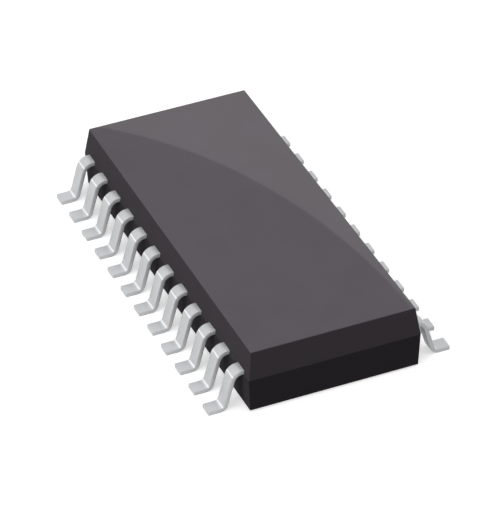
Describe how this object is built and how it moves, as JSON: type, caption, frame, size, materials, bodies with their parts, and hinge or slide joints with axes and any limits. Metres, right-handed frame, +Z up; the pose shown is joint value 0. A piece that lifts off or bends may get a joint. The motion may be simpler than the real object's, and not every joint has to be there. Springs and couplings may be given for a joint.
{
  "type": "transceiver chip",
  "caption": "Transceiver integrated circuit in a black small-outline moulded package with two rows of gull-wing leads for surface mounting.",
  "frame": {"origin": "centre of the footprint on the seating plane, level with the undersides of the lead feet", "axes": "+Y along the moulding, with lead 1 at -X +Y and lead 12 at -X -Y; +X across, towards leads 13 to 24; +Z up, away from the board"},
  "size_m": [0.0094, 0.0154, 0.0025],
  "materials": {
    "mould_compound": "black epoxy mould compound, fine satin grain",
    "lead_plating": "matte tin plating on copper alloy strip",
    "leadframe_alloy": "bare stamped copper alloy",
    "silver_epoxy": "cured silver-filled epoxy",
    "silicon": "polished silicon",
    "bond_gold": "drawn gold wire"
  },
  "bodies": {
    "root": {"package_body": "mould_compound", "lead_01": "lead_plating", "lead_02": "lead_plating", "lead_03": "lead_plating", "lead_04": "lead_plating", "lead_05": "lead_plating", "lead_06": "lead_plating", "lead_07": "lead_plating", "lead_08": "lead_plating", "lead_09": "lead_plating", "lead_10": "lead_plating", "lead_11": "lead_plating", "lead_12": "lead_plating", "lead_13": "lead_plating", "lead_14": "lead_plating", "lead_15": "lead_plating", "lead_16": "lead_plating", "lead_17": "lead_plating", "lead_18": "lead_plating", "lead_19": "lead_plating", "lead_20": "lead_plating", "lead_21": "lead_plating", "lead_22": "lead_plating", "lead_23": "lead_plating", "lead_24": "lead_plating", "die_pad": "leadframe_alloy", "die_attach": "silver_epoxy", "silicon_die": "silicon", "bond_wire_01": "bond_gold", "bond_wire_02": "bond_gold", "bond_wire_03": "bond_gold", "bond_wire_04": "bond_gold", "bond_wire_05": "bond_gold", "bond_wire_06": "bond_gold", "bond_wire_07": "bond_gold", "bond_wire_08": "bond_gold", "bond_wire_09": "bond_gold", "bond_wire_10": "bond_gold", "bond_wire_11": "bond_gold", "bond_wire_12": "bond_gold", "bond_wire_13": "bond_gold", "bond_wire_14": "bond_gold", "bond_wire_15": "bond_gold", "bond_wire_16": "bond_gold", "bond_wire_17": "bond_gold", "bond_wire_18": "bond_gold", "bond_wire_19": "bond_gold", "bond_wire_20": "bond_gold", "bond_wire_21": "bond_gold", "bond_wire_22": "bond_gold", "bond_wire_23": "bond_gold", "bond_wire_24": "bond_gold"}
  },
  "joints": []
}
